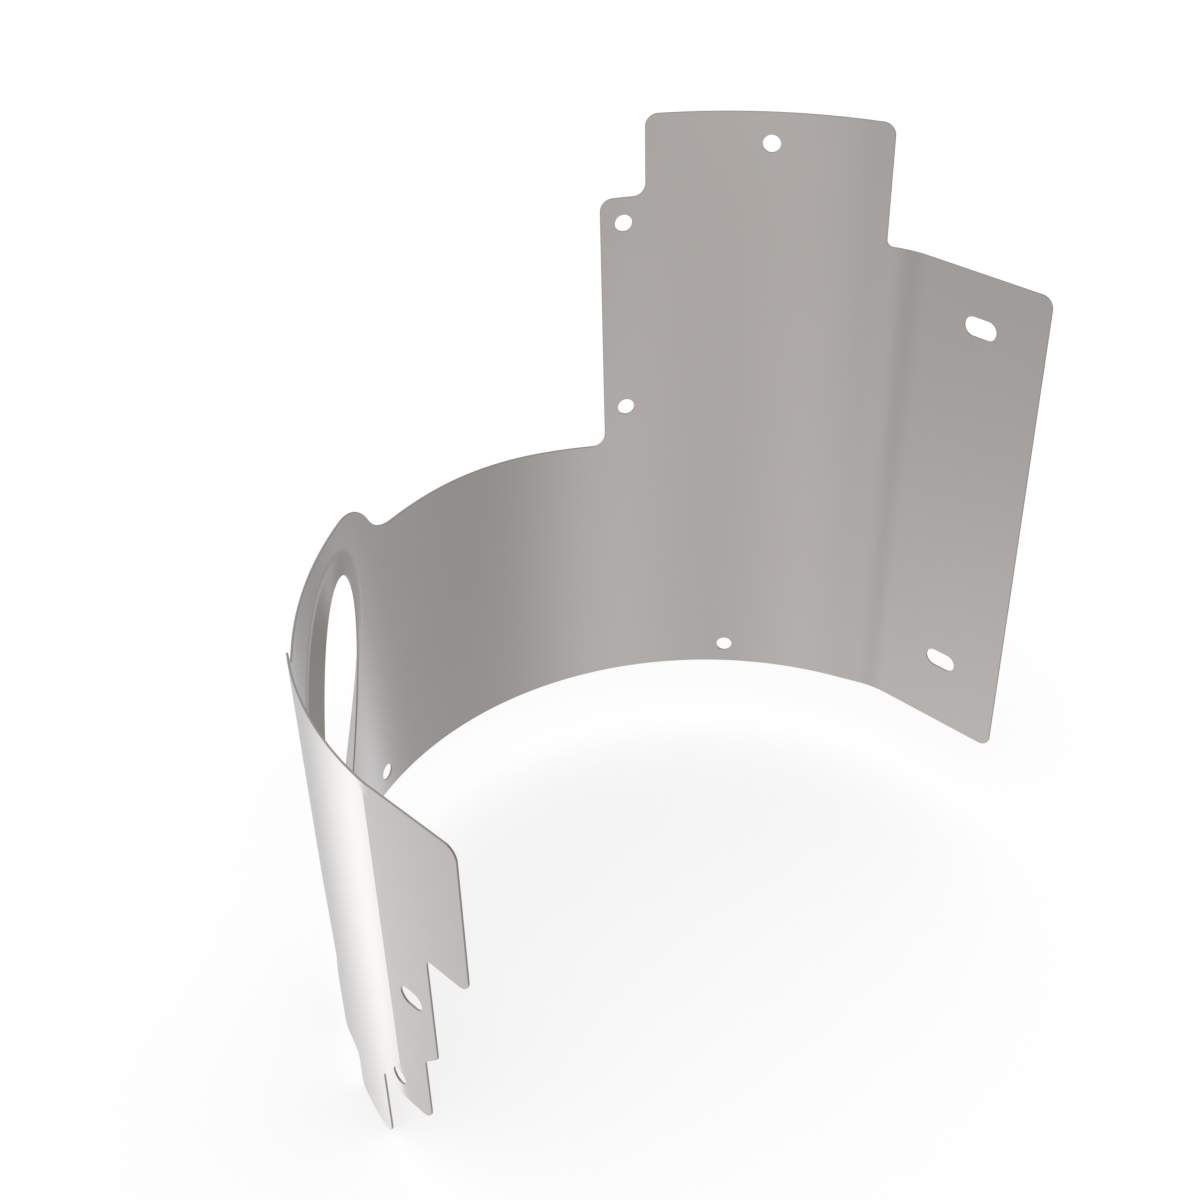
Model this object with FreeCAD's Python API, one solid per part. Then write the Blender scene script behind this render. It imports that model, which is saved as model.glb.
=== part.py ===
import FreeCAD, Part
import math
import os

# Heat shield: one sheet folded round a canister, with a flange down each side.
# The curve's axis is Z. The back of the curve faces -X, and both flanges run towards +X:
# the wide flange at +Y and the stepped flange at -Y. Heights start at the level bottom edge.
# Angles are counted round the axis from the back of the curve, minus towards the wide flange
# and plus towards the stepped one. The outline is drawn on the flat sheet and then wrapped.

# The sheet and its path in plan
sheet = 0.8                # thickness of the sheet
curve_r = 150.0            # inside radius of the curve
curve_start = -70.0        # where the curve begins, on the wide flange's side
crease = 85.5              # where it ends in a crease, on the stepped flange's side
straight_run = 12.0        # straight wall between the curve and the wide flange's bend
bend_r = 38.0              # inside radius of that bend
right_reach = 29.1         # how far the wide flange runs past the axis
left_reach = 31.3          # how far the stepped flange's upper tab runs past the axis

# Top edge, from the wide flange round to the stepped one
right_top = 215.0          # top of the wide flange
tab_side = 8.05            # side of the tall tab, past the end of the curve
tab_top = 263.8            # top of the tall tab
tab_end = -36.4            # its other side
step_top = 231.3           # step beside it
step_end = -29.42          # where the step drops to the band
band_start = 120.9         # height of the band's top edge there
crown_at = -6.5            # crown of the band's top edge
crown_top = 126.8
rise_foot_at = 15.0        # foot and head of the rise to the hump over the pipe hole
rise_foot = 125.2
rise_head_at = 19.8
rise_head = 145.0
hump_end_at = 53.8         # where the hump's sloping top turns up again
hump_end = 133.3
left_start = 57.6          # corner where it reaches the top of the stepped side
left_top = 148.2

# Bottom edge
dip_start = 34.0           # where the edge leaves the level line
dip_at = 57.0              # lowest point of the dip under the pipe hole
dip_depth = 32.5
shoulder_at = 67.0         # where the dip meets the shoulder
shoulder_depth = 18.3
tooth_start = 70.0         # sides of the tooth
tooth_end = 80.2
tooth_depth = 36.5

# Steps in the stepped flange
tab_bottom = 87.1          # underside of its upper tab
mid_reach = 10.7           # how far the middle part runs past the axis
low_reach = 3.4            # how far the lower part runs past the axis
low_top = 31.4             # where the lower part's edge turns out at 45 degrees

# Rounded corners of the outline
corner_r = 5.0             # most corners
small_r = 2.5              # corners of the small steps
crown_r = 500.0            # crown of the band's edge
rise_foot_r = 14.7
rise_head_r = 19.6
hump_end_r = 28.0
dip_r = 12.0

# Holes and slots
hole_d = 7.0               # round fixing holes
tab_hole_at = -55.0        # hole near the top of the tall tab
tab_hole_top = 251.4
panel_holes_at = -33.0     # two holes down the panel's edge
panel_hole_high = 220.7
panel_hole_low = 138.5
low_holes_top = 9.7        # holes along the bottom edge
low_hole_right = -50.0
low_hole_back = 20.0
low_hole_left = 84.9
slot_w = 8.0               # slots of the wide flange
slot_l = 14.4
slot_low = 33.0
slot_high = 193.0
left_slot_w = 7.4          # slot of the stepped flange
left_slot_l = 10.7
left_slot_top = 60.4

# Pipe hole: a slanting oval whose rim is drawn in towards the axis. The oval is where the sheet
# would turn if its bend were sharp. The lip is a smaller oval that stands in from the sheet.
pipe_at = 42.2            # angle and height of its middle
pipe_top = 62.7
pipe_lean = 35.2           # lean of the long axis from upright
oval_long = 82.2           # half axes of the oval
oval_short = 33.6
rim_bend = 1.6             # how far the bend runs to each side of the oval
lip_long = 73.6            # half axes of the lip
lip_short = 30.4
lip_turn = 20.5            # turn round the oval to where the lip stands in least
lip_least = 1.0            # how far it stands in there
lip_near = 6.1             # and a quarter turn on, towards the stepped flange
lip_far = 4.7              # and on the other side

spare = 6.0                # how far the cutting shapes run past the sheet
steps = 72                 # points round each closed curve of the rim


def at(angle, radius, height=0.0):
    """Point on a radius at an angle from the back of the curve."""
    a = math.radians(angle)
    return FreeCAD.Vector(-radius * math.cos(a), -radius * math.sin(a), height)


def along(angle):
    """Unit direction round the curve, towards the stepped flange."""
    a = math.radians(angle)
    return FreeCAD.Vector(math.sin(a), -math.cos(a), 0)


# Distances along the sheet's inside face, from the back of the curve
def on_curve(angle):
    return math.radians(angle) * curve_r


bend_angle = 90.0 + curve_start
bend_centre = at(curve_start, curve_r - bend_r) - along(curve_start) * straight_run
right_y = bend_centre.y + bend_r
left_y = -curve_r * math.sin(math.radians(crease))
run_end = on_curve(curve_start) - straight_run
flange_end = run_end - math.radians(bend_angle) * bend_r
crease_end = on_curve(crease)
crease_x = at(crease, curve_r).x


def on_right(x):
    return flange_end - (x - bend_centre.x)


def on_left(x):
    return crease_end + (x - crease_x)


def place(s, height, out):
    """Point of the folded sheet, from its place on the flat one. Out is from the inside face."""
    up = FreeCAD.Vector(0, 0, height)
    if abs(s - crease_end) < 1e-6:
        mitre = math.degrees(math.asin((out - left_y) / (curve_r + out)))
        return at(mitre, curve_r + out) + up
    if s > crease_end:
        return FreeCAD.Vector(crease_x + s - crease_end, left_y - out, 0) + up
    if s > on_curve(curve_start):
        return at(math.degrees(s / curve_r), curve_r + out) + up
    if s > run_end:
        return bend_centre + at(curve_start, bend_r + out) + along(curve_start) * (s - run_end) + up
    if s > flange_end:
        turned = math.degrees((s - run_end) / bend_r)
        return bend_centre + at(curve_start + turned, bend_r + out) + up
    return FreeCAD.Vector(bend_centre.x + flange_end - s, right_y + out, 0) + up


folds = [flange_end, run_end, on_curve(curve_start), crease_end]


def is_flat(first, last):
    """True where the sheet is flat between two distances along it."""
    if max(first, last) <= flange_end + 1e-6 or min(first, last) >= crease_end - 1e-6:
        return True
    return min(first, last) >= run_end - 1e-6 and max(first, last) <= on_curve(curve_start) + 1e-6


# Wrapping one stretch of the outline: a strip square through the sheet
def strip(curve, first, last):
    """Ruled strip over curve(t), t from 0 to 1, between points first and last of the flat sheet."""
    sides = []
    for out in (-spare, sheet + spare):
        ends = [place(p[0], p[1], out) for p in (first, curve(0.5), last)]
        bent = not is_flat(first[0], last[0])
        sloping = abs(first[1] - last[1]) > 1e-6 and abs(first[0] - last[0]) > 1e-6
        if bent and (sloping or abs(curve(0.5)[1] - first[1]) > 1e-6) and abs(first[0] - last[0]) > 1e-6:
            count = 8 + int(abs(last[0] - first[0]) / 6.0)
            inner = [curve(k / count) for k in range(1, count)]
            points = [place(p[0], p[1], out) for p in [first] + inner + [last]]
            spline = Part.BSplineCurve()
            spline.interpolate(points)
            sides.append(spline.toShape())
        elif (ends[1] - ends[0]).cross(ends[2] - ends[0]).Length < 1e-6:
            sides.append(Part.makeLine(ends[0], ends[2]))
        else:
            sides.append(Part.Arc(ends[0], ends[1], ends[2]).toShape())
    return Part.makeRuledSurface(sides[0], sides[1])


def straight(first, last):
    """Strips over a straight stretch, parted where the sheet folds."""
    cuts = sorted(s for s in folds if min(first[0], last[0]) + 1e-3 < s < max(first[0], last[0]) - 1e-3)
    if first[0] > last[0]:
        cuts.reverse()
    marks = [first]
    for s in cuts:
        marks.append((s, first[1] + (last[1] - first[1]) * (s - first[0]) / (last[0] - first[0])))
    marks.append(last)
    made = []
    for a, b in zip(marks, marks[1:]):
        made.append(strip(lambda t, a=a, b=b: (a[0] + (b[0] - a[0]) * t, a[1] + (b[1] - a[1]) * t), a, b))
    return made


def wrapped(corners):
    """Closed ribbon of strips round the outline, with every corner rounded."""
    arcs = []
    for k, (s, z, radius) in enumerate(corners):
        before = FreeCAD.Vector(corners[k - 1][0] - s, corners[k - 1][1] - z, 0)
        after = FreeCAD.Vector(corners[(k + 1) % len(corners)][0] - s,
                               corners[(k + 1) % len(corners)][1] - z, 0)
        half = before.getAngle(after) / 2.0
        reach = min(radius / math.tan(half), before.Length * 0.49, after.Length * 0.49)
        radius = reach * math.tan(half)
        before.normalize()
        after.normalize()
        middle = before + after
        middle.normalize()
        corner = FreeCAD.Vector(s, z, 0)
        centre = corner + middle * math.hypot(radius, reach)
        arcs.append((centre, radius, corner + before * reach, corner + after * reach))
    strips = []
    for k, (centre, radius, start, end) in enumerate(arcs):
        a = math.atan2(start.y - centre.y, start.x - centre.x)
        b = math.atan2(end.y - centre.y, end.x - centre.x)
        turn = (b - a + math.pi) % (2.0 * math.pi) - math.pi

        def curve(t, a=a, turn=turn, centre=centre, radius=radius):
            return (centre.x + radius * math.cos(a + turn * t), centre.y + radius * math.sin(a + turn * t))

        first = (start.x, start.y)
        last = (end.x, end.y)
        strips.append(strip(curve, first, last))
        following = arcs[(k + 1) % len(arcs)][2]
        strips += straight(last, (following.x, following.y))
    return Part.makeShell(strips)


# Path of the sheet in plan, as a wall that runs a little past the outline on every side
def plan_side(out):
    start = on_right(right_reach + spare)
    end = on_left(left_reach + spare)
    marks = [start] + folds + [end]
    p = [place(s, 0.0, out) for s in marks]
    middles = [place((a + b) / 2.0, 0.0, out) for a, b in zip(marks, marks[1:])]
    return [Part.makeLine(p[0], p[1]), Part.Arc(p[1], middles[1], p[2]).toShape(),
            Part.makeLine(p[2], p[3]), Part.Arc(p[3], middles[3], p[4]).toShape(),
            Part.makeLine(p[4], p[5])]


inside = plan_side(0.0)
outside = plan_side(sheet)
ends = [Part.makeLine(inside[0].Vertexes[0].Point, outside[0].Vertexes[0].Point),
        Part.makeLine(inside[4].Vertexes[1].Point, outside[4].Vertexes[1].Point)]
plan = Part.Face(Part.Wire(Part.__sortEdges__(inside + outside + ends)))
plan.translate(FreeCAD.Vector(0, 0, -tooth_depth - spare))
wall = plan.extrude(FreeCAD.Vector(0, 0, tooth_depth + tab_top + spare * 2.0))

# Outline on the flat sheet: distance along it, height and corner radius
low_turn = low_top + mid_reach - low_reach
outline = [
    (on_right(right_reach), 0.0, corner_r),
    (on_right(right_reach), right_top, corner_r),
    (on_curve(curve_start) - tab_side, right_top, small_r),
    (on_curve(curve_start) - tab_side, tab_top, corner_r),
    (on_curve(tab_end), tab_top, corner_r),
    (on_curve(tab_end), step_top, corner_r),
    (on_curve(step_end), step_top, corner_r),
    (on_curve(step_end), band_start, corner_r),
    (on_curve(crown_at), crown_top, crown_r),
    (on_curve(rise_foot_at), rise_foot, rise_foot_r),
    (on_curve(rise_head_at), rise_head, rise_head_r),
    (on_curve(hump_end_at), hump_end, hump_end_r),
    (on_curve(left_start), left_top, small_r / 2.0),
    (on_left(left_reach), left_top, corner_r),
    (on_left(left_reach), tab_bottom, corner_r),
    (on_left(mid_reach), tab_bottom, small_r),
    (on_left(mid_reach), low_turn, small_r),
    (on_left(low_reach), low_top, small_r),
    (on_left(low_reach), 0.0, corner_r),
    (on_curve(tooth_end), 0.0, small_r),
    (on_curve(tooth_end), -tooth_depth, corner_r),
    (on_curve(tooth_start), -tooth_depth, small_r),
    (on_curve(tooth_start), -shoulder_depth, small_r / 2.0),
    (on_curve(shoulder_at), -shoulder_depth, corner_r),
    (on_curve(dip_at), -dip_depth, dip_r),
    (on_curve(dip_start), 0.0, dip_r)]
pieces = wall.generalFuse([wrapped(outline)])[0].Solids
inner_point = place(0.0, band_start / 2.0, sheet / 2.0)
shield = [p for p in pieces if p.isInside(inner_point, 1e-3, True)][0]


# Round holes, bored square to the curve, and slots through the flanges
def bore(angle, height):
    return Part.makeCylinder(hole_d / 2.0, curve_r * 0.2, at(angle, curve_r * 0.9, height), at(angle, 1.0))


def slot(y, height, length, width):
    """Slot lengthwise along X, centred over the axis."""
    half = (length - width) / 2.0
    low = height - width / 2.0
    points = [FreeCAD.Vector(-half, y - spare, low), FreeCAD.Vector(half, y - spare, low),
              FreeCAD.Vector(half + width / 2.0, y - spare, height),
              FreeCAD.Vector(half, y - spare, low + width), FreeCAD.Vector(-half, y - spare, low + width),
              FreeCAD.Vector(-half - width / 2.0, y - spare, height)]
    edges = [Part.makeLine(points[0], points[1]), Part.Arc(points[1], points[2], points[3]).toShape(),
             Part.makeLine(points[3], points[4]), Part.Arc(points[4], points[5], points[0]).toShape()]
    return Part.Face(Part.Wire(edges)).extrude(FreeCAD.Vector(0, spare * 2.0, 0))


holes = [bore(tab_hole_at, tab_hole_top), bore(panel_holes_at, panel_hole_high),
         bore(panel_holes_at, panel_hole_low), bore(low_hole_right, low_holes_top),
         bore(low_hole_back, low_holes_top), bore(low_hole_left, low_holes_top),
         slot(right_y, slot_low, slot_l, slot_w), slot(right_y, slot_high, slot_l, slot_w),
         slot(left_y, left_slot_top, left_slot_l, left_slot_w)]
shield = shield.cut(holes)


# Drawn rim of the pipe hole, set out on the flat sheet: a bend that starts a little outside the
# oval and then a straight neck to the lip. Way is 0 to 1 round the bend and 1 to 2 up the neck.
def oval(turn, long_half, short_half):
    """Point of the flat sheet on an oval that leans as the pipe hole does."""
    lean = math.radians(pipe_lean)
    a = long_half * math.cos(turn)
    b = short_half * math.sin(turn)
    return FreeCAD.Vector(on_curve(pipe_at) + a * math.sin(lean) + b * math.cos(lean),
                          pipe_top - a * math.cos(lean) + b * math.sin(lean), 0)


def lip_stand(turn):
    """How far the lip stands in from the sheet."""
    swing = math.sin(turn - math.radians(lip_turn))
    sides = (lip_near + lip_far) / 2.0
    return lip_least + (sides - lip_least) * swing ** 2 + (lip_near - lip_far) / 2.0 * swing


def rim_inside(turn, way):
    corner = oval(turn, oval_long, oval_short)
    away = oval(turn, oval_short, oval_long) - oval(turn, 0.0, 0.0)
    start = corner + away.normalize() * rim_bend
    lip = oval(turn, lip_long, lip_short)
    lip.z = -lip_stand(turn)
    end = corner + (lip - corner).normalize() * rim_bend
    if way < 1.0:
        point = start * (1.0 - way) ** 2 + corner * (2.0 * way * (1.0 - way)) + end * way ** 2
    else:
        point = end + (lip - end) * (way - 1.0)
    return place(point.x, point.y, point.z)


def rim_outside(turn, way):
    """The matching point of the outside face, square to the rim."""
    point = rim_inside(turn, way)
    if way == 0.0:
        return point + FreeCAD.Vector(point.x, point.y, 0).normalize() * sheet
    small = 1e-4
    round_it = rim_inside(turn + small, way) - rim_inside(turn - small, way)
    normal = round_it.cross(rim_inside(turn, way + small) - rim_inside(turn, way - small))
    start = rim_inside(turn + small, 0.0) - rim_inside(turn - small, 0.0)
    base = start.cross(rim_inside(turn, small) - rim_inside(turn, 0.0))
    normal.normalize()
    return point + normal * math.copysign(sheet, base.dot(at(pipe_at, 1.0)))


def ring(face, way):
    """Closed curve round the rim, on one face of the sheet."""
    turns = [2.0 * math.pi * k / steps for k in range(steps + 1)]
    curve = Part.BSplineCurve()
    curve.interpolate(Points=[face(turn, way) for turn in turns[:-1]], Parameters=turns, PeriodicFlag=True)
    return Part.Wire(curve.toShape())


bend_ways = [0.0, 0.2, 0.4, 0.6, 0.8, 1.0]
neck_ways = [1.0, 1.5, 2.0]
rim = []
for face in (rim_inside, rim_outside):
    bend_rings = [ring(face, way) for way in bend_ways]
    neck_rings = bend_rings[-1:] + [ring(face, way) for way in neck_ways[1:]]
    rim += Part.makeLoft(bend_rings, False, False).Faces + Part.makeLoft(neck_rings, False, False).Faces
rim += Part.makeLoft([ring(rim_inside, 2.0), ring(rim_outside, 2.0)], False, True).Faces

# The sheet is parted where the rim starts, the piece inside is dropped and the rim is sewn on
parting = Part.makeLoft([ring(rim_inside, 0.0), ring(rim_outside, 0.0)], False, True)
halves = sorted(shield.generalFuse([parting], 0.0001)[0].Solids, key=lambda piece: piece.Volume)
dropped = halves[0].Faces
kept = [face for face in halves[-1].Faces if not any(face.isSame(other) for other in dropped)]
shell = Part.Shell(kept + rim)
shell.sewShape(0.0001)
shield = Part.Solid(shell)

os.makedirs("parts", exist_ok=True)
shield.exportStep("parts/heat_shield.step")
print("volume", round(shield.Volume, 1), "valid", shield.isValid(), "faces", len(shield.Faces))
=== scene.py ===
# %% [markdown]
# A heat shield is one sheet of steel, cut flat, rolled round a hot canister and folded at both sides.
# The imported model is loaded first. Everything below is fitted to it, and its box is kept for later.

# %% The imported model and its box
import math

import bpy
import numpy as np
from mathutils import Matrix, Vector
from mathutils.geometry import delaunay_2d_cdt


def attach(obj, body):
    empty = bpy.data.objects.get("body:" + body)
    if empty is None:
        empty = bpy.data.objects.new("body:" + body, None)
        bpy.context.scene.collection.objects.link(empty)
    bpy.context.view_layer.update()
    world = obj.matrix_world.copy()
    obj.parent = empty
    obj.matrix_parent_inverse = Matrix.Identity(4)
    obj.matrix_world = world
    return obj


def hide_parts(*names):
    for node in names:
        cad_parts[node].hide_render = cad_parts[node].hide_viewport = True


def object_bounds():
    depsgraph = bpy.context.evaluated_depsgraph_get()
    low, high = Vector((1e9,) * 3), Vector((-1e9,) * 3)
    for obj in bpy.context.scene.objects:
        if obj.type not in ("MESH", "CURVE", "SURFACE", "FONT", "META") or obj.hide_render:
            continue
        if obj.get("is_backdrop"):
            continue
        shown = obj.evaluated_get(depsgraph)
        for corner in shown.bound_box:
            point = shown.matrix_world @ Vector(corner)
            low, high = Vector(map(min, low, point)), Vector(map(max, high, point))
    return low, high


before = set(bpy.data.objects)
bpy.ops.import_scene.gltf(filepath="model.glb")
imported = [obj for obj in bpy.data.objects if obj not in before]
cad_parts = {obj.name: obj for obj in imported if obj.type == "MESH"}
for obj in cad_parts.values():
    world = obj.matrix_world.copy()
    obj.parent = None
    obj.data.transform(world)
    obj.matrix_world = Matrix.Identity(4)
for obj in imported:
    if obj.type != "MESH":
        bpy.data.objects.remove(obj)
cad_low, cad_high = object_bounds()
mm = 0.001
print("packed model", [round(v, 1) for v in (cad_high - cad_low) / mm], "mm")

# %% [markdown]
# The sheet's path in plan is a flat flange, a soft bend, a short straight, a round wall and, after a
# slight crease, another flat flange. A point of the flat sheet is its distance along this path and its
# height. Folding it is one formula for each stretch, so whole arrays of points are folded at once.

# %% Sizes of the folded path, in millimetres and degrees
sheet = 0.8
curve_r = 150.0
curve_start, crease = math.radians(-70.0), math.radians(85.5)
straight_run, bend_r = 12.0, 38.0
bend_turn = math.radians(90.0) + curve_start
right_reach, left_reach = 29.1, 31.3


def outward(angle):
    """Unit direction away from the axis, at an angle from the back of the curve."""
    return np.stack([-np.cos(angle), -np.sin(angle)], axis=-1)


def onward(angle):
    """Unit direction along the curve, towards the stepped flange."""
    return np.stack([np.sin(angle), -np.cos(angle)], axis=-1)


bend_centre = outward(curve_start) * (curve_r - bend_r) - onward(curve_start) * straight_run
curve_low, curve_high = curve_start * curve_r, crease * curve_r
run_end = curve_low - straight_run
flange_end = run_end - bend_turn * bend_r
right_y = bend_centre[1] + bend_r
left_y = -curve_r * math.sin(crease)
crease_x = -curve_r * math.cos(crease)
tiny = 1e-6


def fold(s, z, out):
    """Folded place of points (s, z) of the flat sheet, at a distance out from its inside face.

    On the curve the point is (radius + out) along the outward direction of angle s / radius.
    On the straight and the flanges it moves along the tangent, and round the bend it turns
    about the bend's own centre. At the crease itself, the outside face is mitred: the point
    moves back by out times the tangent of half the angle folded there.
    """
    s, z, out = np.broadcast_arrays(*(np.asarray(v, float) for v in (s, z, out)))
    wall = outward(s / curve_r) * (curve_r + out)[..., None]
    base = outward(np.full(s.shape, curve_start))
    ahead = onward(np.full(s.shape, curve_start))
    straight = bend_centre + base * (bend_r + out)[..., None] + ahead * (s - run_end)[..., None]
    bend = bend_centre + outward(curve_start + (s - run_end) / bend_r) * (bend_r + out)[..., None]
    wide = np.stack([bend_centre[0] + flange_end - s, right_y + out], axis=-1)
    stepped = np.stack([crease_x + s - curve_high, left_y - out], axis=-1)
    mitre = out * math.tan((math.pi / 2 - crease) / 2)
    stepped[..., 0] -= np.where(np.abs(s - curve_high) < tiny, mitre, 0.0)
    plan = np.where((s >= curve_high - tiny)[..., None], stepped,
                    np.where((s > curve_low)[..., None], wall,
                             np.where((s > run_end)[..., None], straight,
                                      np.where((s > flange_end)[..., None], bend, wide))))
    return np.concatenate([plan, z[..., None]], axis=-1) * mm


print("flanges at", round(right_y, 2), "and", round(left_y, 2), "mm")

# %% [markdown]
# The outline was cut on the flat sheet, so it is drawn there as corners with radii. Each corner
# becomes an arc that touches both of its sides. Points are set close together on the arcs and about
# three millimetres apart on the straights, so that the edge stays smooth once it is folded.

# %% Outline of the flat sheet
def on_curve(degrees):
    """Place along the sheet of an angle on the curve, from its back."""
    return math.radians(degrees) * curve_r


def on_wide(x):
    """Place along the sheet of a point of the wide flange, this far in front of the axis."""
    return flange_end - (x - bend_centre[0])


def on_stepped(x):
    """Place along the sheet of a point of the stepped flange, this far in front of the axis."""
    return curve_high + x - crease_x


corner_r, small_r = 5.0, 2.5
widest = 500.0  # as wide as the sides of its corner allow
tooth_z, tab_z = -36.5, 263.8
outline_corners = [
    # along the sheet, height, corner radius
    (on_wide(right_reach), 0.0, corner_r), (on_wide(right_reach), 215.0, corner_r),
    (curve_low - 8.05, 215.0, small_r), (curve_low - 8.05, tab_z, corner_r),
    (on_curve(-36.4), tab_z, corner_r), (on_curve(-36.4), 231.3, corner_r),
    (on_curve(-29.42), 231.3, corner_r), (on_curve(-29.42), 120.9, corner_r),
    (on_curve(-6.5), 126.8, widest), (on_curve(15.0), 125.2, 14.7),
    (on_curve(19.8), 145.0, 19.6), (on_curve(53.8), 133.3, 28.0),
    (on_curve(57.6), 148.2, small_r / 2), (on_stepped(left_reach), 148.2, corner_r),
    (on_stepped(left_reach), 87.1, corner_r), (on_stepped(10.7), 87.1, small_r),
    (on_stepped(10.7), 38.7, small_r), (on_stepped(3.4), 31.4, small_r),
    (on_stepped(3.4), 0.0, corner_r), (on_curve(80.2), 0.0, small_r),
    (on_curve(80.2), tooth_z, corner_r), (on_curve(70.0), tooth_z, small_r),
    (on_curve(70.0), -18.3, small_r / 2), (on_curve(67.0), -18.3, corner_r),
    (on_curve(57.0), -32.5, 12.0), (on_curve(34.0), 0.0, 12.0)]


def rounded_loop(corners, spacing=3.0, arc_spacing=0.6, arc_points=(4, 40), side_share=0.49):
    """Closed loop of points through corners (s, z, radius), each rounded by a touching arc.

    An arc touches its sides at radius / tan(half the corner's angle) from the corner, and at
    most at this share of the shorter side, where the radius becomes smaller.
    """
    table = np.array(corners)
    here, radius = table[:, :2], table[:, 2]
    back = np.roll(here, 1, axis=0) - here
    ahead = np.roll(here, -1, axis=0) - here
    back_l, ahead_l = np.linalg.norm(back, axis=1), np.linalg.norm(ahead, axis=1)
    back, ahead = back / back_l[:, None], ahead / ahead_l[:, None]
    half = np.arccos(np.clip((back * ahead).sum(1), -1, 1)) / 2
    reach = np.minimum(radius / np.tan(half), np.minimum(back_l, ahead_l) * side_share)
    radius = reach * np.tan(half)
    middle = back + ahead
    middle /= np.linalg.norm(middle, axis=1)[:, None]
    centre = here + middle * np.hypot(radius, reach)[:, None]
    start, end = here + back * reach[:, None], here + ahead * reach[:, None]
    a = np.arctan2(*(start - centre).T[::-1])
    turn = (np.arctan2(*(end - centre).T[::-1]) - a + np.pi) % (2 * np.pi) - np.pi
    pieces = []
    for k in range(len(table)):
        count = max(arc_points[0], int(abs(turn[k]) * radius[k] / arc_spacing))
        t = a[k] + turn[k] * np.linspace(0, 1, min(count, arc_points[1]))
        pieces.append(centre[k] + radius[k] * np.stack([np.cos(t), np.sin(t)], axis=1))
        gap = start[(k + 1) % len(table)] - end[k]
        count = int(np.linalg.norm(gap) / spacing)
        pieces.append(end[k] + gap * (np.arange(1, count) / max(count, 1))[:, None])
    return np.concatenate(pieces)


outline = rounded_loop(outline_corners)
sheet_length = on_stepped(left_reach) - on_wide(right_reach)
print("outline", len(outline), "points on a sheet", round(sheet_length, 1), "mm long")

# %% [markdown]
# Six round holes, two slots in the wide flange and one in the stepped flange are closed loops of the
# same kind. The large slanting oval is where the pipe leaves. Its rim is drawn inward, so the sheet
# stops at the oval where the rim starts to turn in, and the rim itself is a separate grid.

# %% Holes, slots and the oval
def circle(s, z, radius, count=48):
    """Round hole: a centre plus a radius times the cosine and sine of a full turn."""
    t = np.arange(count) / count * 2 * np.pi
    return np.stack([s + radius * np.cos(t), z + radius * np.sin(t)], axis=1)


def slot(s, z, length, width, count=24):
    """Two half circles joined by straights, lengthwise along the sheet."""
    t = np.arange(count) / (count - 1) * np.pi - np.pi / 2
    end = np.stack([np.cos(t), np.sin(t)], axis=1) * width / 2
    shift = np.array([(length - width) / 2, 0.0])
    return np.concatenate([end + shift, -end - shift]) + [s, z]


hole_r = 3.5
small_holes = [circle(on_curve(a), z, hole_r) for a, z in
               ((-55.0, 251.4), (-33.0, 220.7), (-33.0, 138.5), (-50.0, 9.7), (20.0, 9.7), (84.9, 9.7))]
small_holes += [slot(on_wide(0.0), z, 14.4, 8.0) for z in (33.0, 193.0)]
small_holes.append(slot(on_stepped(0.0), 60.4, 10.7, 7.4))

pipe_s, pipe_z, pipe_lean = on_curve(42.2), 62.7, math.radians(35.2)
oval_long, oval_short, rim_bend = 82.2, 33.6, 1.6
lip_long, lip_short = 73.6, 30.4
lip_turn, lip_least, lip_near, lip_far = math.radians(20.5), 1.0, 6.1, 4.7
rim_count = 320


def unit(v):
    """Vectors divided by their length."""
    return v / np.linalg.norm(v, axis=-1, keepdims=True)


def oval(turn, long_half, short_half):
    """Point (s, z) of the flat sheet on an oval that leans as the pipe hole does."""
    a, b = long_half * np.cos(turn), short_half * np.sin(turn)
    return np.stack([pipe_s + a * math.sin(pipe_lean) + b * math.cos(pipe_lean),
                     pipe_z - a * math.cos(pipe_lean) + b * math.sin(pipe_lean)], axis=-1)


def away(turn):
    """Unit direction square to the oval, away from the hole."""
    return unit(oval(turn, oval_short, oval_long) - [pipe_s, pipe_z])


rim_turns = np.arange(rim_count) / rim_count * 2 * np.pi
rim_start = oval(rim_turns, oval_long, oval_short) + away(rim_turns) * rim_bend
print("holes", len(small_holes), "and the oval", round(2 * oval_long), "by",
      round(2 * oval_short), "mm")

# %% [markdown]
# The sheet is filled with points on an even grid, and the outline and holes are put among them. A
# triangulation that keeps those loops as edges gives one clean surface for each face of the sheet.
# An even fill matters on satin metal, because long thin triangles show up in its soft reflections.

# %% Triangles of the flat sheet
edge_round = 0.12


def inset(loop, distance):
    """Loop moved sideways by a distance, along the mean normal of the two sides at each point."""
    side = np.roll(loop, -1, axis=0) - np.roll(loop, 1, axis=0)
    normal = np.stack([-side[:, 1], side[:, 0]], axis=1)
    return loop + normal / np.linalg.norm(normal, axis=1)[:, None] * distance


def area(loop):
    """Enclosed area: half the sum of the cross products of neighbours, above 0 if anticlockwise."""
    following = np.roll(loop, -1, axis=0)
    return 0.5 * np.sum(loop[:, 0] * following[:, 1] - following[:, 0] * loop[:, 1])


def wound(loop, sign):
    """The loop, reversed where needed so that its area has this sign."""
    return loop if area(loop) * sign > 0 else loop[::-1]


def inside(points, loop):
    """True for points inside a closed loop: an odd number of its sides lies to their right."""
    a, b = loop, np.roll(loop, -1, axis=0)
    x, y = points[:, :1], points[:, 1:]
    crosses = (a[:, 1] > y) != (b[:, 1] > y)
    rise = np.where(b[:, 1] == a[:, 1], 1.0, b[:, 1] - a[:, 1])
    at = a[:, 0] + (y - a[:, 1]) * (b[:, 0] - a[:, 0]) / rise
    return (crosses & (x < at)).sum(1) % 2 == 1


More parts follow.
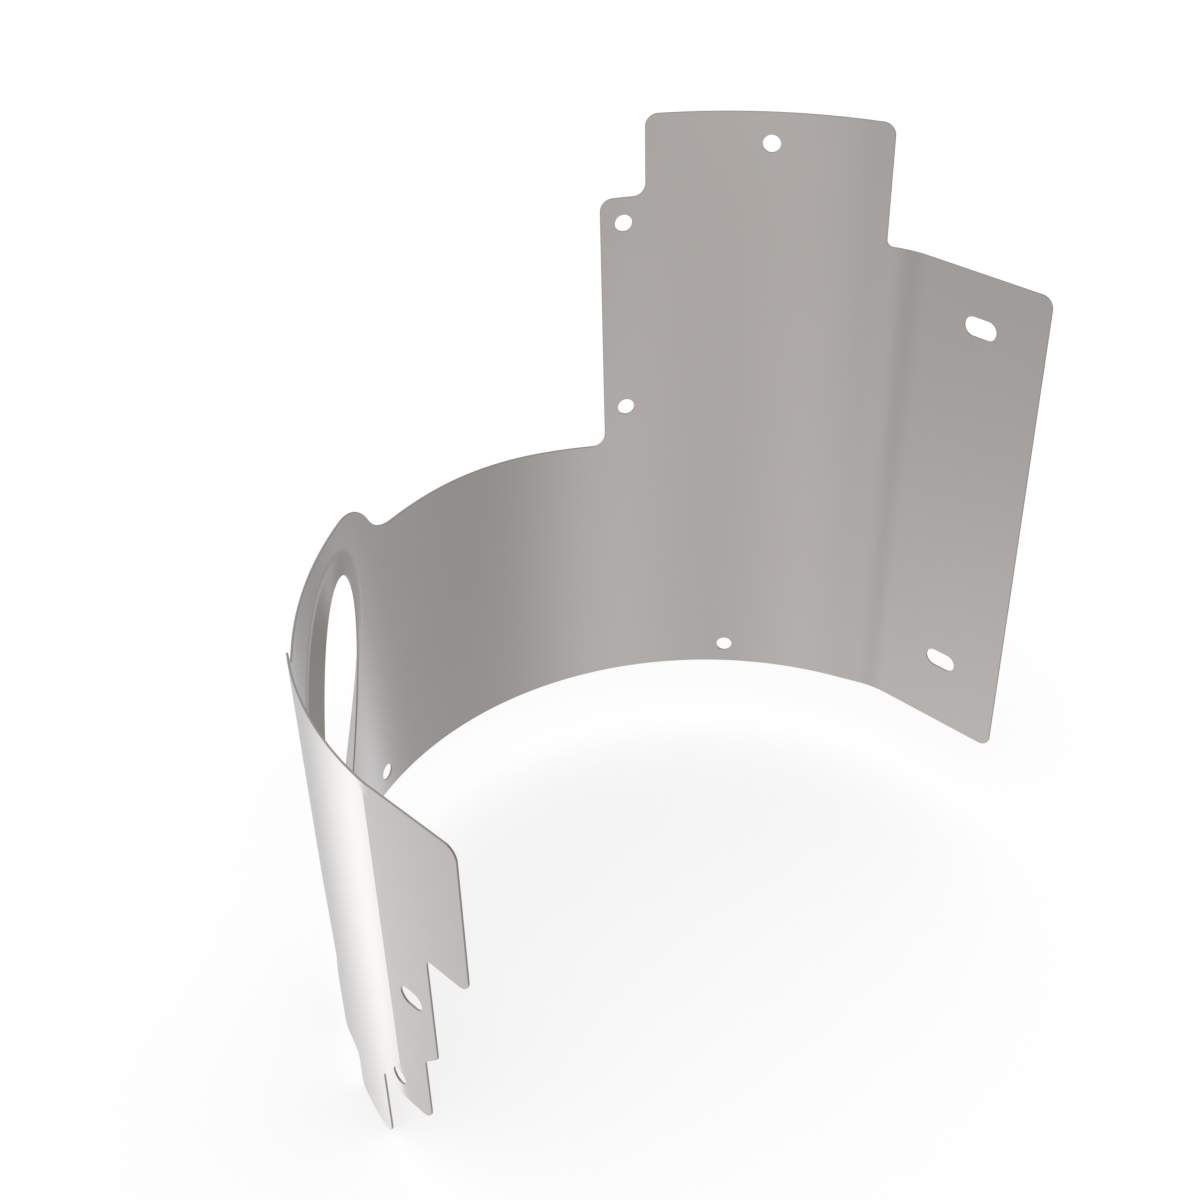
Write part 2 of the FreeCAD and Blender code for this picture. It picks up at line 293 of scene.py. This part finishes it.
def near(points, loop, distance, batch=2000):
    """True for points closer to a loop's points than a distance, found batch by batch."""
    hit = np.zeros(len(points), bool)
    for part in np.array_split(np.arange(len(points)), max(1, len(points) // batch)):
        gap = points[part][:, None, :] - loop[None]
        hit[part] = (gap ** 2).sum(-1).min(1) < distance ** 2
    return hit


cut_loops = [wound(outline, 1)] + [wound(hole, -1) for hole in small_holes]
rim_loop = wound(rim_start, -1)
skin_loops = [inset(loop, edge_round) for loop in cut_loops] + [rim_loop]

step, clearance = 2.6, 0.45
marks = [on_wide(right_reach), flange_end, run_end, curve_low, curve_high, on_stepped(left_reach)]
columns = np.unique(np.concatenate([np.linspace(a, b, max(2, int((b - a) / step) + 1))
                                    for a, b in zip(marks, marks[1:])]).round(6))
rows = np.arange(tooth_z, tab_z, step)
fill = np.stack(np.meshgrid(columns, rows, indexing="ij"), axis=-1).reshape(-1, 2)
fill = fill[inside(fill, skin_loops[0])]
for loop in skin_loops[1:]:
    fill = fill[~inside(fill, loop)]
for loop in skin_loops:
    fill = fill[~near(fill, loop, step * clearance)]
loop_starts = np.cumsum([0] + [len(loop) for loop in skin_loops])
flat = np.concatenate(skin_loops + [fill])
ring = [np.arange(len(loop)) for loop in skin_loops]
sides = np.concatenate([np.stack([k, np.roll(k, -1)], axis=1) + first
                        for k, first in zip(ring, loop_starts)])
made = delaunay_2d_cdt([Vector(p) for p in flat], sides.tolist(), [], 0, tiny, True)
origin = np.array([ids[0] for ids in made[3]])
tri = origin[np.array(made[2])]
middle = flat[tri].mean(axis=1)
keep = inside(middle, skin_loops[0])
for loop in skin_loops[1:]:
    keep &= ~inside(middle, loop)
tri = tri[keep]
a, b, c = flat[tri[:, 0]], flat[tri[:, 1]], flat[tri[:, 2]]
clockwise = (b - a)[:, 0] * (c - a)[:, 1] - (b - a)[:, 1] * (c - a)[:, 0] < 0
tri[clockwise] = tri[clockwise][:, ::-1]
print("flat sheet", len(flat), "points", len(tri), "triangles")

# %% [markdown]
# The rim turns in through a tight bend and then runs as a straight neck to the lip. The bend is one
# smooth curve between the sheet and the neck: a weighted mean of its start, the sharp corner and its
# end. The outside face is the inside one moved by the sheet's thickness along the normal.

# %% The drawn rim
def rim_flat(turn, way):
    """Flat place (s, z, out) of the rim: way 0 to 1 is the bend, 1 to 2 the neck up to the lip.

    With w the way, the bend is start (1 - w)^2 + corner 2 w (1 - w) + end w^2. The lip stands in by
    its least, plus the rest of its mean times the square of the sine of the turn, plus half the
    difference between its two sides times that sine.
    """
    turn, way = np.broadcast_arrays(turn, way)
    swing = np.sin(turn - lip_turn)
    mean, tilt = (lip_near + lip_far) / 2, (lip_near - lip_far) / 2
    stand = lip_least + (mean - lip_least) * swing ** 2 + tilt * swing
    level = np.zeros(turn.shape + (1,))
    corner = np.concatenate([oval(turn, oval_long, oval_short), level], axis=-1)
    lip = np.concatenate([oval(turn, lip_long, lip_short), -stand[..., None]], axis=-1)
    start = corner + np.concatenate([away(turn), level], axis=-1) * rim_bend
    end = corner + unit(lip - corner) * rim_bend
    w = way[..., None]
    bend = start * (1 - w) ** 2 + corner * 2 * w * (1 - w) + end * w ** 2
    return np.where(w < 1, bend, end + (lip - end) * (w - 1))


def rim_point(turn, way):
    """Folded place of the rim."""
    return fold(*np.moveaxis(rim_flat(turn, way), -1, 0))


def rim_normal(turn, way):
    """Unit normal away from the axis, from the two directions of the rim's surface."""
    d = 1e-3  # the small step along each direction
    way = np.maximum(way, d)
    across = rim_point(turn + d, way) - rim_point(turn - d, way)
    return unit(np.cross(across, rim_point(turn, way + d) - rim_point(turn, way - d))) * rim_side


rim_side = 1.0  # a first try, turned round where the normal points at the axis
trial = rim_normal(np.zeros(1), np.zeros(1))[0]
rim_side = -1.0 if trial[:2] @ outward(pipe_s / curve_r) < 0 else 1.0

if area(rim_start) >= 0:
    rim_turns = rim_turns[::-1]
bend_rows, neck_rows, neck_mm = 11, 9, 5.0
ways = np.concatenate([np.linspace(0, 1, bend_rows), np.linspace(1, 2, neck_rows)[1:-1],
                       [2 - edge_round / neck_mm]])
grid_turn, grid_way = np.meshgrid(rim_turns, ways, indexing="xy")
rim_place = rim_flat(grid_turn, grid_way)[..., :2]
rim_inner = rim_point(grid_turn, grid_way)
rim_outer = rim_inner + rim_normal(grid_turn, grid_way) * sheet * mm
lip = rim_point(rim_turns, np.full(len(rim_turns), 2.0))
lip_normal = rim_normal(rim_turns, np.full(len(rim_turns), 2.0))
lip_rows = [lip + lip_normal * h * mm for h in (edge_round, sheet - edge_round)]
print("rim", rim_inner.shape[1], "by", rim_inner.shape[0], "points, lip", lip_near, "mm in at most")

# %% [markdown]
# Both faces, the cut edges and the rim become one closed mesh. The cut edges get two narrow slopes
# where they meet the faces, as a deburred edge has, which lets them catch a thin line of light.
# Each point keeps its place on the flat sheet, and a mark where the metal was sheared. The finish
# reads both, so that the rolled grain follows the sheet round its bends.

# %% One closed mesh
points, places = [], []


def add(block, place, cut=0.0):
    """Add points with their place on the flat sheet, and return the index of the first."""
    first = sum(len(row) for row in points)
    points.append(block)
    places.append(np.column_stack([place * mm, np.full(len(place), cut)]))
    return first


def band(first, second, count):
    """Quads between two closed rows of points that start at these indices."""
    k = np.arange(count)
    n = np.roll(k, -1)
    return np.stack([first + k, first + n, second + n, second + k], axis=1)


inner_first = add(fold(flat[:, 0], flat[:, 1], 0.0), flat)
outer_first = add(fold(flat[:, 0], flat[:, 1], sheet), flat)
# The flat triangles all turn one way, so one face of the sheet keeps their order over the whole
# part, and the other has it reversed.
triangles = [tri + inner_first, tri[:, ::-1] + outer_first]
quads = []
for loop, first in zip(cut_loops, loop_starts):
    low = add(fold(loop[:, 0], loop[:, 1], edge_round), loop, 1.0)
    high = add(fold(loop[:, 0], loop[:, 1], sheet - edge_round), loop, 1.0)
    edge = [inner_first + first, low, high, outer_first + first]
    quads += [band(one, two, len(loop))[:, ::-1] for one, two in zip(edge, edge[1:])]
rim_first = loop_starts[-2]
rim_in = [inner_first + rim_first] + [add(*pair) for pair in zip(rim_inner[1:], rim_place[1:])]
rim_out = [outer_first + rim_first] + [add(*pair) for pair in zip(rim_outer[1:], rim_place[1:])]
lip_in, lip_out = (add(row, rim_place[-1], 1.0) for row in lip_rows)
chain = rim_in + [lip_in, lip_out] + rim_out[::-1]
quads += [band(one, two, rim_count)[:, ::-1] for one, two in zip(chain, chain[1:])]
vertices = np.concatenate(points)
quads, triangles = np.concatenate(quads), np.concatenate(triangles)

body = bpy.data.meshes.new("folded_sheet")
body.from_pydata(vertices.tolist(), [], quads.tolist() + triangles.tolist())
body.validate()
body.polygons.foreach_set("use_smooth", np.ones(len(body.polygons), bool))
flat_place = body.attributes.new("flat_place", "FLOAT_VECTOR", "POINT")
flat_place.data.foreach_set("vector", np.concatenate(places).ravel())
shield = bpy.data.objects.new("folded_sheet", body)
bpy.context.scene.collection.objects.link(shield)
print("mesh", len(vertices), "points", len(quads), "quads", len(triangles), "triangles")

# %% [markdown]
# Normals have to point away from the metal. The sign of the enclosed volume tells which way they
# point now. The slight crease and the cut edges are marked sharp, so that each flat flange keeps one
# even tone right up to its fold.

# %% Facing and sharp edges
sharp_angle, crease_reach = 28, 0.05
tri_all = np.concatenate([triangles, quads[:, [0, 1, 2]], quads[:, [0, 2, 3]]])
p, q, r = (vertices[tri_all[:, k]] for k in range(3))
volume = float(np.einsum("ij,ij->i", p, np.cross(q, r)).sum() / 6)
if volume < 0:
    body.flip_normals()
body.set_sharp_from_angle(angle=math.radians(sharp_angle))
ends = np.empty(len(body.edges) * 2, int)
body.edges.foreach_get("vertices", ends)
ends = ends.reshape(-1, 2)
at_crease = (np.abs(vertices[:, 0] / mm - crease_x) < crease_reach) & (vertices[:, 1] < 0)
sharp = np.empty(len(body.edges), bool)
body.edges.foreach_get("use_edge_sharp", sharp)
sharp |= at_crease[ends].all(axis=1)
body.edges.foreach_set("use_edge_sharp", sharp)
body.update()
print("metal", round(abs(volume) * 1e9), "mm3, sharp edges", int(sharp.sum()))

# %% [markdown]
# The sheet is steel with a satin rolled finish. Metal takes its look from what it reflects, so the
# colour is a plain warm grey and the roughness blurs reflections into soft gradients. Rolling leaves
# a very fine grain along the sheet, and handling leaves soft clouds. Both only vary the roughness and
# the tone a little. The sheared edges are rougher, and the grain stops there. Their colour is darker,
# partly as sheared steel is and partly as painted shade for the darker light they reflect. In the
# photograph the part shows no reflection of itself, so the sheet is kept out of reflected rays.

# %% Satin steel
grain_scale = (40.0, 900.0, 0.0)  # along and across the sheet, for each metre
cloud_scale = 22.0
least_rough, most_rough, sheared_rough = 0.17, 0.23, 0.42
dark_steel, light_steel = (0.472, 0.449, 0.432, 1), (0.498, 0.473, 0.455, 1)
# The darker edge colour is partly sheared steel and partly painted shade.
sheared_steel_painted_shade = (0.33, 0.315, 0.305, 1)

steel = bpy.data.materials.new("satin_steel")
steel.use_nodes = True
nodes, links = steel.node_tree.nodes, steel.node_tree.links
shader = nodes["Principled BSDF"]
shader.inputs["Metallic"].default_value = 1.0
place_node = nodes.new("ShaderNodeAttribute")
place_node.attribute_name = "flat_place"


def feed(value, socket):
    """Link a socket to an input, or set the input to a constant."""
    if isinstance(value, bpy.types.NodeSocket):
        links.new(value, socket)
    else:
        socket.default_value = value


def noise(vector, scale, detail):
    """A noise of 0 to 1 on a vector."""
    node = nodes.new("ShaderNodeTexNoise")
    node.inputs["Scale"].default_value = scale
    node.inputs["Detail"].default_value = detail
    links.new(vector, node.inputs["Vector"])
    return node.outputs["Fac"]


def between(value, low, high):
    """Map a value of 0 to 1 to a range."""
    node = nodes.new("ShaderNodeMapRange")
    node.inputs["To Min"].default_value = low
    node.inputs["To Max"].default_value = high
    links.new(value, node.inputs["Value"])
    return node.outputs["Result"]


def mix(kind, share, first, second):
    """Mix two values or colours by a share; each is a socket or a constant."""
    node = nodes.new("ShaderNodeMix")
    node.data_type = kind
    sockets, result = {"FLOAT": ((0, 2, 3), 0), "RGBA": ((0, 6, 7), 2)}[kind]
    for socket, value in zip(sockets, (share, first, second)):
        feed(value, node.inputs[socket])
    return node.outputs[result]


parts = nodes.new("ShaderNodeSeparateXYZ")
links.new(place_node.outputs["Vector"], parts.inputs["Vector"])
sheared = parts.outputs["Z"]
stretch = nodes.new("ShaderNodeVectorMath")
stretch.operation = "MULTIPLY"
stretch.inputs[1].default_value = grain_scale
links.new(place_node.outputs["Vector"], stretch.inputs[0])
grain = noise(stretch.outputs["Vector"], 1.0, 2.0)
where = nodes.new("ShaderNodeTexCoord")
clouds = noise(where.outputs["Object"], cloud_scale, 3.0)
worked = mix("FLOAT", 0.5, grain, clouds)
rough = mix("FLOAT", sheared, between(worked, least_rough, most_rough), sheared_rough)
links.new(rough, shader.inputs["Roughness"])
# At the sheared edges the tone turns darker: partly the steel's own colour, partly painted shade.
tone = mix("RGBA", sheared, mix("RGBA", worked, dark_steel, light_steel), sheared_steel_painted_shade)
links.new(tone, shader.inputs["Base Color"])
body.materials.append(steel)
shield.visible_glossy = False
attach(shield, "root")
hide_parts("heat_shield")
print("material", steel.name)

# %% [markdown]
# The camera stands where the photograph was taken from: a little above and in front of the open
# side. Its place and turn were found from the plain cylinder and the flat flanges.

# %% Camera
look_turn, look_down, look_roll = -0.021447, 0.623633, -0.026099  # radians
stand_point = Vector((-0.214166, -3.193623, 3.254428))  # in radii of the curve
focal, sensor = 50.55, 36.0  # millimetres
turned = Matrix.Rotation(math.radians(44.54), 3, "Z")
ahead = Vector((math.sin(look_turn) * math.cos(look_down),
                math.cos(look_turn) * math.cos(look_down), -math.sin(look_down)))
level = Vector((math.cos(look_turn), -math.sin(look_turn), 0))
above = level.cross(ahead)
right = level * math.cos(look_roll) + above * math.sin(look_roll)
up = above * math.cos(look_roll) - level * math.sin(look_roll)
axes = Matrix((turned @ right, turned @ up, turned @ -ahead)).transposed()
lens = bpy.data.cameras.new("camera")
lens.sensor_width = sensor
lens.lens = focal
lens.clip_start = 0.01
camera = bpy.data.objects.new("camera", lens)
place = turned @ (stand_point * curve_r * mm)
camera.matrix_world = Matrix.Translation(place) @ axes.to_4x4()
bpy.context.scene.collection.objects.link(camera)
bpy.context.scene.camera = camera
print("camera at", [round(v, 3) for v in place])

# %% [markdown]
# The light is a plain soft studio. Metal has no colour of its own beyond what it reflects, so the
# room matters more than any lamp: white paper under the part, broad soft boxes at both sides and a
# quieter side towards the camera. Each box is one smooth lobe of the world, so no hard edge shows in
# the metal, and some are a little bluer than others. Glossy rays see this room, so the metal shows
# it. Camera and transmission rays see plain white, and all other light comes at one plain level.

# %% Studio
scene = bpy.context.scene
scene.view_settings.view_transform = "Standard"
world = bpy.data.worlds.new("studio")
scene.world = world
world.use_nodes = True
nodes, links = world.node_tree.nodes, world.node_tree.links
plain_light = (0.85, 0.85, 0.85, 1)
room = (0.37, 0.37, 0.37)
soft_boxes = [
    # azimuth, elevation, sharpness, level, blue
    (0, -90, 6, 0.60, 0.0), (0, -90, 2, 0.22, 0.0), (-121, -42, 40, 0.37, 0.0),
    (-100, -52, 40, 0.15, 0.0), (-77, -40, 20, 0.27, 0.0), (-14, -35, 12, 0.32, 0.0),
    (60, 0, 8, 0.37, 0.03), (-60, 5, 4, 0.44, 0.0), (-150, 0, 8, 0.62, 0.03),
    (160, -20, 12, 0.27, 0.1), (180, 40, 4, 0.85, 0.0), (-49, 35, 6, 0.70, -0.1),
    (97, -58, 40, 0.42, 0.06), (84, -43, 120, 0.66, 0.06), (-157, -40, 130, 0.85, 0.0),
    (-158, -30, 150, 0.90, 0.0), (-158, -50, 150, 0.82, 0.0), (-171, -42, 60, 0.68, 0.0)]


def vector_of(kind, first, second):
    """A vector math node on sockets or constants."""
    node = nodes.new("ShaderNodeVectorMath")
    node.operation = kind
    feed(first, node.inputs[0])
    feed(second, node.inputs[3 if kind == "SCALE" else 1])
    return node.outputs["Value" if kind == "DOT_PRODUCT" else "Vector"]


def sum_of(kind, *values):
    """A math node on sockets or constants."""
    node = nodes.new("ShaderNodeMath")
    node.operation = kind
    for socket, value in zip(node.inputs, values):
        feed(value, socket)
    return node.outputs[0]


def ray_kinds():
    """The light path's outputs, and 1 for the rays that see plain white: camera and transmission."""
    path = nodes.new("ShaderNodeLightPath").outputs
    return path, sum_of("MAXIMUM", path["Is Camera Ray"], path["Is Transmission Ray"])


def soft_box(direction, azimuth, elevation, sharpness, level, blue):
    """Light that fades as level e^(sharpness (c - 1)), where c is the cosine from its middle."""
    turn, lift = math.radians(azimuth), math.radians(elevation)
    middle = (math.cos(turn) * math.cos(lift), math.sin(turn) * math.cos(lift), math.sin(lift))
    falling = sum_of("MULTIPLY_ADD", vector_of("DOT_PRODUCT", direction, middle), sharpness, -sharpness)
    colour = (level * (1 - blue), level, level * (1 + blue))
    return vector_of("SCALE", colour, sum_of("EXPONENT", falling))


look = nodes.new("ShaderNodeTexCoord").outputs["Generated"]
light = room
for box in soft_boxes:
    light = vector_of("ADD", soft_box(look, *box), light)
path, clear = ray_kinds()
in_metal = mix("RGBA", path["Is Glossy Ray"], plain_light, light)
links.new(mix("RGBA", clear, in_metal, (1, 1, 1, 1)), nodes["Background"].inputs["Color"])
print("world", world.name, "with", len(soft_boxes), "soft boxes")

# %% [markdown]
# The part stands on a pale floor. To the camera the floor is as white as the background and keeps
# the part's soft shadow. The metal looks past it at the studio, where the white paper already is.

# %% Floor
half, gap = 4.0, 0.0005  # metres
floor_tone, floor_glow = 0.5, 0.60
ground = bpy.data.meshes.new("floor")
square = [(-half, -half, 0), (half, -half, 0), (half, half, 0), (-half, half, 0)]
ground.from_pydata(square, [], [(0, 1, 2, 3)])
ground.transform(Matrix.Translation((0, 0, cad_low[2] - gap)))
floor = bpy.data.objects.new("floor", ground)
scene.collection.objects.link(floor)
floor.visible_glossy = False
floor.visible_shadow = False  # the room's light from below reaches the metal
pale = bpy.data.materials.new("pale_floor")
pale.use_nodes = True
nodes, links = pale.node_tree.nodes, pale.node_tree.links
nodes.remove(nodes["Principled BSDF"])
paper = nodes.new("ShaderNodeBsdfDiffuse")
paper.inputs["Color"].default_value = (floor_tone, floor_tone, floor_tone, 1)
glow = nodes.new("ShaderNodeEmission")
path, clear = ray_kinds()
seen = sum_of("MAXIMUM", clear, path["Is Glossy Ray"])
links.new(sum_of("MULTIPLY", seen, floor_glow), glow.inputs["Strength"])
both = nodes.new("ShaderNodeAddShader")
links.new(paper.outputs["BSDF"], both.inputs[0])
links.new(glow.outputs["Emission"], both.inputs[1])
links.new(both.outputs["Shader"], nodes["Material Output"].inputs["Surface"])
ground.materials.append(pale)
floor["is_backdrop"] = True
print("floor at", round(cad_low[2] / mm, 1), "mm")

# %% [markdown]
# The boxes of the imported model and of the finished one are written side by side, to compare them.

# %% Sizes and finish
low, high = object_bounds()
print("finished model", [round(v, 1) for v in (high - low) / mm], "mm")
